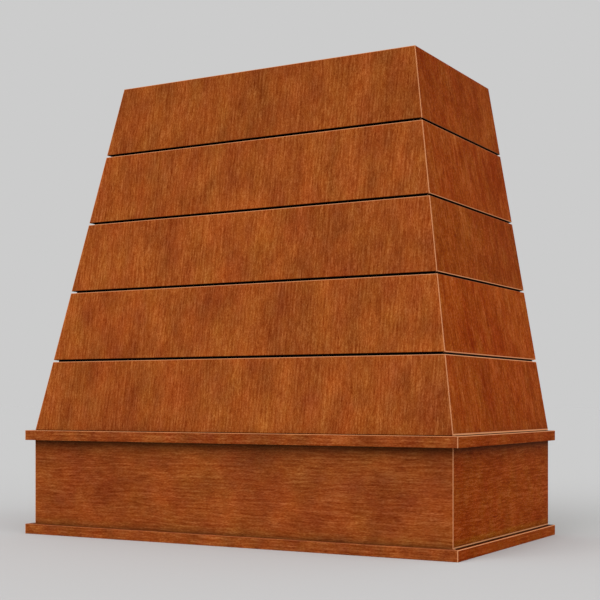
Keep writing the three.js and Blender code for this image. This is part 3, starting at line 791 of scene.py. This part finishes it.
# Rubbed stain and painted highlights on the arrises, strongest where the light catches them
FRONT_BOARD_WEAR_AND_HIGHLIGHT = (UNRUBBED_AND_UNHIGHLIT, (1.0, 0))
SIDE_BOARD_WEAR_AND_HIGHLIGHT = (                  # foot, then head, each on the face and on the edge
    (UNRUBBED_AND_UNHIGHLIT, (1.5, 3.0)),
    ((1.3, 4.0), (0.3, 0)),
    ((1.2, 0.9), (0.3, 0)),
    ((1.1, 0.2), (0.6, 0)),
    ((0.3, 0), UNRUBBED_AND_UNHIGHLIT),
)
TRIM_WEAR_AND_HIGHLIGHT = {"lower": (0.2, 1.0), "upper": (0.6, 1.0)}     # its head in front, and on the sides

strips = []
for wall in WALLS:
    in_front = wall == "front"
    for course in range(COURSES):
        strips.append(stained_strip(
            f"{wall}_board_{course + 1}", "board", BOARD_RADIUS,
            FRONT_BOARD_WEAR_AND_HIGHLIGHT if in_front else SIDE_BOARD_WEAR_AND_HIGHLIGHT[course],
            leaf=(FRONT_LEAVES if in_front else SIDE_LEAVES)[course],
            under=UPPER_TRIM_HEAD if course == 0 else None, black_head=course < COURSES - 1))
    strips.append(stained_strip(f"{wall}_apron", "apron", APRON_RADIUS, (UNRUBBED_AND_UNHIGHLIT, UNRUBBED_AND_UNHIGHLIT),
                                over=UPPER_TRIM_FOOT, under=LOWER_TRIM_HEAD))
    for level, (front_wear_and_highlight, side_wear_and_highlight) in TRIM_WEAR_AND_HIGHLIGHT.items():
        head_wear_and_highlight = front_wear_and_highlight if in_front else side_wear_and_highlight
        strips.append(stained_strip(f"{wall}_{level}_trim", "trim", TRIM_RADIUS,
                                    (UNRUBBED_AND_UNHIGHLIT, (head_wear_and_highlight, head_wear_and_highlight))))
faces = sum(len(strip.data.polygons) for strip in strips)
print("stained strips:", len(strips), "with", faces, "faces")

# %% [markdown]
# ## Plywood
#
# The sheets behind the boards and the three level panels are plywood. It shows a plain rotary-cut
# face, and at its edges thin layers that lie crosswise in turn, with a dark line of glue between
# them. All of it follows from the depth in the sheet: the layer's number gives the direction of
# its grain. So a hole or a bevel anywhere cuts the layers open as a saw would.

# %% Plywood group
SHEET_SKIN = 0.01                    # how far inside its faces the sheet is read, in layers
GLUE_FADE = (0.05, 0.12)             # from a joint to where its glue begins to fade and ends
PLY_FIGURE = {"Streak Width": 0.010, "Streak Length": 0.35, "Wander": 0.05}


def build_plywood():
    """Level counts layers from the underside. Whether its whole part is odd turns the grain, and
    its distance from the nearest whole number makes the glue, except at the two faces."""
    plywood, at, out = new_group(
        "plywood_layers",
        {"Place": (0.0, 0.0, 0.0), "Thickness": 0.019, "Layers": 7.0},
        dict.fromkeys(("Streaks", "Pores", "Crosswise", "Glue"), "NodeSocketFloat"))
    x, y, z = parts_of(plywood, at["Place"])
    level = maths(plywood, "MULTIPLY", maths(plywood, "DIVIDE", z, at["Thickness"]), at["Layers"])
    highest = maths(plywood, "SUBTRACT", at["Layers"], SHEET_SKIN)
    level = maths(plywood, "MINIMUM", maths(plywood, "MAXIMUM", level, SHEET_SKIN), highest)
    crosswise = maths(plywood, "MODULO", maths(plywood, "FLOOR", level), 2.0)
    plywood.links.new(crosswise, out["Crosswise"])

    ways = {0: crosswise, 4: vector_of(plywood, y, z, x), 5: vector_of(plywood, x, z, y)}
    turned = place(plywood, "ShaderNodeMix", ways, data_type="VECTOR").outputs[1]
    wood = use(plywood, WOOD_GRAIN, {"Place": turned, **PLY_FIGURE})
    plywood.links.new(wood["Grain"], out["Streaks"])
    plywood.links.new(wood["Pores"], out["Pores"])

    off_joint = maths(plywood, "SUBTRACT", level, maths(plywood, "ROUND", level))
    off_joint = maths(plywood, "ABSOLUTE", off_joint)
    glue = ranged(plywood, off_joint, *GLUE_FADE, 1.0, 0.0, kind="SMOOTHSTEP")
    off_bottom = maths(plywood, "GREATER_THAN", level, 0.5)
    off_top = maths(plywood, "LESS_THAN", level, maths(plywood, "SUBTRACT", at["Layers"], 0.5))
    inside = maths(plywood, "MULTIPLY", off_bottom, off_top)
    plywood.links.new(maths(plywood, "MULTIPLY", glue, inside), out["Glue"])
    return plywood


PLYWOOD_LAYERS = build_plywood()
print("plywood_layers:", len(PLYWOOD_LAYERS.nodes), "nodes")


# %% Plywood materials
GLUE_LINE = paint(96, 66, 38)
PLY_FACE = (paint(196, 160, 112), paint(226, 196, 150))
PLY_CROSS = (paint(150, 112, 72), paint(184, 146, 100))
PLY_STREAKS = (0.35, 0.65)           # the range of its streaks over which its tones spread
PLY_PORES = 0.3                      # how dark its pores are
PLY_ROUGHNESS = (0.65, 0.85)
BARE_RELIEF = (0.4, 0.2 * MM)
BARE_GLOSS = 0.2
BLACKENED = paint(5, 3, 2)


def plywood_finish(name, at, thickness, layers, blackened_depth=None):
    """Bare plywood. at(tree) gives the place in the sheet; where its depth is under
    blackened_depth, the face is stained black so that the grooves read as shadow."""
    material, tree, shader = new_material(name)
    spot = at(tree)
    sheet = use(tree, PLYWOOD_LAYERS, {
        "Place": spot, "Thickness": thickness, "Layers": float(layers)})
    tone = ranged(tree, sheet["Streaks"], *PLY_STREAKS)
    face = mixed(tree, tone, *PLY_FACE)
    cross = mixed(tree, tone, *PLY_CROSS)
    wood = mixed(tree, sheet["Crosswise"], face, cross)
    wood = mixed(tree, maths(tree, "MULTIPLY", sheet["Pores"], PLY_PORES), wood, GLUE_LINE)
    wood = mixed(tree, sheet["Glue"], wood, GLUE_LINE)
    if blackened_depth:
        depth = parts_of(tree, spot)[2]
        wood = mixed(tree, maths(tree, "LESS_THAN", depth, blackened_depth), wood, BLACKENED)
    tree.links.new(wood, shader.inputs["Base Color"])
    surfaced(tree, shader, sheet["Streaks"], sheet["Streaks"], PLY_ROUGHNESS, BARE_RELIEF, BARE_GLOSS)
    return material


def in_sheet(bottom):
    """Object coordinates with their depth counted from a level sheet's underside."""
    def at(tree):
        spot = place(tree, "ShaderNodeTexCoord").outputs["Object"]
        moved = place(tree, "ShaderNodeMapping", {"Vector": spot, "Location": (0, 0, -bottom)})
        return moved.outputs[0]
    return at


# %% Dress the level sheets
def dress(node, material):
    """Gives a CAD node a better material and leaves its mesh alone."""
    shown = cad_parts[node]
    if not shown.material_slots:
        shown.data.materials.append(material)
    for slot in shown.material_slots:
        slot.material = material


SHEET_LAYERS = 9

for sheet in ("liner_panel", "apron_deck", "top_panel"):
    below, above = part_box(sheet)
    thickness = above.z - below.z
    dress(sheet, plywood_finish(f"plywood_{sheet}", in_sheet(below.z), thickness, SHEET_LAYERS))
    print(sheet, "underside at", round(below.z / MM, 2), "mm")

# %% Backing panels
# They are strips like the boards, so the same function carries them, with arrises hardly broken.
# Their place in the sheet is stored as up, along and depth, so the face's grain runs up.
PANEL_RADIUS = 0.2 * MM
PANEL_LAYERS = 5
PANEL_BLACK = 0.3 * MM               # how deep the black of its face goes


def backing_panel(wall):
    """Builds a wall's backing panel. Returns how thick it is, measured level."""
    node = f"{wall}_backing_panel"
    corners, ends = strip_in_frame(node)
    along, inwards, up, depth, _, smooth = carried_strip(
        corners, ends, PANEL_RADIUS, UNRUBBED_AND_UNHIGHLIT, UNRUBBED_AND_UNHIGHLIT, (0, 0))
    mesh = closed_mesh(node + "_plywood", in_hood(wall, along, inwards, up), smooth)
    store(mesh, "grain", np.stack([up, along, depth], -1))
    thickness = float(depth.max())
    mesh.materials.append(plywood_finish(
        f"plywood_{node}", lambda tree: read(tree, "grain"), thickness, PANEL_LAYERS, PANEL_BLACK))
    add_piece(node, mesh)
    return thickness


thicknesses = [backing_panel(wall) for wall in WALLS]
print("backing panels, level thickness in mm:", [round(value / MM, 2) for value in thicknesses])

# %% [markdown]
# ## Poplar
#
# The hidden frame is poplar: cream with a little green in it, straight grained, planed and left
# bare. The same grain group makes it, with longer streaks and less contrast. It only needs to be
# told which way each stick was cut, and a stick's end shows browner than its sides.

# %% Poplar materials
POPLAR_TONES = (paint(176, 150, 104), paint(206, 182, 136), paint(226, 208, 168))
POPLAR_END = paint(150, 120, 80)
POPLAR_FIGURE = {"Streak Width": 0.004, "Streak Length": 0.5, "Cloud Size": 0.03, "Wander": 0.012}
POPLAR_CONTRAST, POPLAR_CLOUDING = 1.3, 0.7
POPLAR_ROUGHNESS = (0.55, 0.75)
END_FACING = (0.8, 0.9)              # how squarely a face looks along its stick, from side to end
AXIS_ORDER = {"x": (1, 2, 0), "y": (0, 2, 1), "z": (0, 1, 2)}      # across, depth and along


def poplar_finish(axis):
    """Poplar with its grain along an axis. A face that looks along the axis too is an end."""
    material, tree, shader = new_material(f"poplar_along_{axis}")
    coordinates = place(tree, "ShaderNodeTexCoord").outputs
    order = AXIS_ORDER[axis]
    parts = parts_of(tree, coordinates["Object"])
    spot = vector_of(tree, *(parts[i] for i in order))
    wood = use(tree, WOOD_GRAIN, {"Place": spot, **POPLAR_FIGURE})
    clouds = centred(tree, wood["Clouds"], POPLAR_CLOUDING, 0.5)
    sides = toned(tree, centred(tree, wood["Grain"], POPLAR_CONTRAST, clouds), POPLAR_TONES)
    facing = maths(tree, "ABSOLUTE", parts_of(tree, coordinates["Normal"])[order[2]])
    end = ranged(tree, facing, *END_FACING)
    tree.links.new(mixed(tree, end, sides, POPLAR_END), shader.inputs["Base Color"])
    surfaced(tree, shader, wood["Clouds"], wood["Grain"], POPLAR_ROUGHNESS, BARE_RELIEF, BARE_GLOSS)
    return material


POPLAR = {axis: poplar_finish(axis) for axis in AXIS_ORDER}
STICKS = {
    "x": ["apron_back_rail", "front_liner_ledger", "back_liner_ledger", "front_top_cleat",
          "hanging_rail", "wall_cleat"],
    "y": ["left_liner_ledger", "right_liner_ledger", "left_top_cleat", "right_top_cleat"],
    "z": ["left_corner_block", "right_corner_block", "left_hip_batten", "right_hip_batten",
          "left_rear_stile", "right_rear_stile"],
}
for axis, nodes in STICKS.items():
    for node in nodes:
        dress(node, POPLAR[axis])
print("poplar sticks:", {axis: len(nodes) for axis, nodes in STICKS.items()})

# %% [markdown]
# ## Screws
#
# The panels are screwed, not glued, so they come off again. The screws have a flat countersunk
# head, a square drive and a yellow zinc coat. A screw is turned from rings: each ring has a
# radius, a height and a squareness, from 0 for a circle to 1 for the square of the drive. The
# thread is a ridge whose place on the shank turns with the angle.

# %% Screw shape
SCREW_SIDES = 32
THREAD_PITCH = 2.4 * MM
THREAD_DEPTH = 0.45 * MM
THREAD_START = 2.5 * MM              # below the head's cone
THREAD_RINGS = 120
DRIVE_HALF = 1.25 * MM
DRIVE_DEPTH = 2.2 * MM
RIM_FOOT = 0.45 * MM                 # below the top of the head
FLAT_RINGS = 9                       # from the drive to the foot of the rim
SCREW_TIP = 6.0 * MM                 # how long the point tapers
TIP_SHARE = 0.03                     # what is left of the radius at its end
TIP_SHORT = 0.2 * MM                 # and how far it stays inside the CAD screw


def screw_rings(length, head, shank):
    """Rings from the middle of the drive over the head and down to the point, as radius, height
    and squareness. On the thread the radius also gets a ridge: a triangle wave of height over
    pitch less angle over a full turn, squared."""
    cone_foot = -(head - shank) - RIM_FOOT
    rings = np.array([
        (0.10 * DRIVE_HALF, -DRIVE_DEPTH, 1),      # the floor of the drive
        (0.85 * DRIVE_HALF, -DRIVE_DEPTH, 1),
        (0.96 * DRIVE_HALF, -0.2 * MM, 1),         # its wall
        (1.1 * DRIVE_HALF, 0, 1),
        (1.5 * DRIVE_HALF, 0, 0.5),                # the flat of the head
        (head - 0.35 * MM, 0, 0),
        (head - 0.1 * MM, -0.06 * MM, 0),          # its arris
        (head, -0.25 * MM, 0),
        (head, -RIM_FOOT, 0),                      # the rim
        (shank, cone_foot, 0),
    ])
    start = -(head - shank) - THREAD_START
    heights = start + np.linspace(0, 1, THREAD_RINGS) * (TIP_SHORT - length - start)
    taper = np.clip((length + heights) / SCREW_TIP, TIP_SHARE, 1)
    threaded = np.stack([taper * (shank - THREAD_DEPTH), heights, 0 * heights], 1)
    ridge = np.concatenate([np.zeros(len(rings)), taper * THREAD_DEPTH])
    return np.concatenate([rings, threaded]), ridge


def screw_mesh(name, centre, head_height, points_down, length, head, shank):
    """A ring's radius goes over from that of a circle to that of a square, which is 1 over the
    larger of cosine and sine. A screw that points up is half turned, not mirrored."""
    rings, ridge = screw_rings(length, head, shank)
    radius, height, squareness = (rings[:, i:i + 1] for i in range(3))
    angle = -np.arange(SCREW_SIDES) / SCREW_SIDES * 2 * math.pi
    square = 1 / np.maximum(np.abs(np.cos(angle)), np.abs(np.sin(angle)))
    phase = (height / THREAD_PITCH + angle / (2 * math.pi)) % 1
    wave = (1 - 2 * np.abs(phase - 0.5)) ** 2
    reach = radius * (1 + squareness * (square - 1)) + ridge[:, None] * wave
    turn = 1 if points_down else -1
    x = centre[0] + reach * np.cos(angle)
    y = centre[1] + turn * reach * np.sin(angle)
    z = np.broadcast_to(head_height + turn * height, x.shape)
    smooth = np.broadcast_to((np.arange(len(rings)) >= FLAT_RINGS)[:, None], x.shape)
    return closed_mesh(name, np.stack([x, y, z], -1), smooth)


# %% Screw finish
ZINC_TONES = (paint(150, 120, 62), paint(214, 186, 118))
ZINC_CLOUDS = 420.0                  # per metre
ZINC_SPREAD = (0.35, 0.65)           # the range of the clouds over which its tones spread
ZINC_ROUGHNESS = (0.28, 0.45)

zinc, zinc_tree, zinc_shader = new_material("yellow_zinc")
zinc_spot = place(zinc_tree, "ShaderNodeTexCoord").outputs["Object"]
zinc_cloud = noise(zinc_tree, zinc_spot, scale=ZINC_CLOUDS, detail=3.0)
zinc_colour = mixed(zinc_tree, ranged(zinc_tree, zinc_cloud, *ZINC_SPREAD), *ZINC_TONES)
zinc_roughness = ranged(zinc_tree, zinc_cloud, *CLOUDY, *ZINC_ROUGHNESS)
zinc_tree.links.new(zinc_colour, zinc_shader.inputs["Base Color"])
zinc_tree.links.new(zinc_roughness, zinc_shader.inputs["Roughness"])
zinc_shader.inputs["Metallic"].default_value = 1.0

# %% Build the screws
SHANK_RADIUS = 2.1 * MM

for node in sorted(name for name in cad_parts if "_screw_" in name):
    lowest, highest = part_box(node)
    centre = (lowest + highest) / 2
    points_down = node.startswith("top")
    head_height = highest.z if points_down else lowest.z
    mesh = screw_mesh(node + "_zinc", centre, head_height, points_down, highest.z - lowest.z,
                      (highest.x - lowest.x) / 2, SHANK_RADIUS)
    mesh.materials.append(zinc)
    add_piece(node, mesh)
print("screws, each with", len(mesh.polygons), "faces")

# %% [markdown]
# ## Floor
#
# The hood stands on a pale floor that runs to the horizon and takes its shadow. Its colour is
# chosen so that, lit by the room and both suns, it shows the same grey as the room behind it. A
# hood is also looked at from below, so the floor's underside is clear as glass.

# %% Floor
FLOOR_REACH = 60.0                   # metres each way
FLOOR_LINES = 5                      # of its grid, each way
FLOOR_ROUGHNESS = 0.9

floor_mesh = bpy.data.meshes.new("floor")
spread = np.linspace(-FLOOR_REACH, FLOOR_REACH, FLOOR_LINES)
floor_x, floor_y = np.meshgrid(spread, spread)
floor_points = np.stack([floor_x, floor_y, 0 * floor_x], -1).reshape(-1, 3)
number = np.arange(floor_x.size).reshape(floor_x.shape)
floor_faces = np.stack([number[:-1, :-1], number[:-1, 1:], number[1:, 1:], number[1:, :-1]], -1)
floor_mesh.from_pydata(floor_points.tolist(), [], floor_faces.reshape(-1, 4).tolist())
floor_material, floor_tree, floor_shader = new_material("pale_floor")
floor_shader.inputs["Base Color"].default_value = (*[ROOM[0] / floor_light] * 3, 1.0)
floor_shader.inputs["Roughness"].default_value = FLOOR_ROUGHNESS
floor_shader.inputs["Specular IOR Level"].default_value = 0.0
underside = place(floor_tree, "ShaderNodeNewGeometry").outputs["Backfacing"]
clear = place(floor_tree, "ShaderNodeBsdfTransparent").outputs[0]
shaders = {0: underside, 1: floor_shader.outputs[0], 2: clear}
one_way = place(floor_tree, "ShaderNodeMixShader", shaders)
floor_tree.links.new(one_way.outputs[0], floor_tree.nodes["Material Output"].inputs["Surface"])
floor_mesh.materials.append(floor_material)
floor = bpy.data.objects.new("floor", floor_mesh)
bpy.context.scene.collection.objects.link(floor)
print("floor colour:", round(ROOM[0] / floor_light, 3))
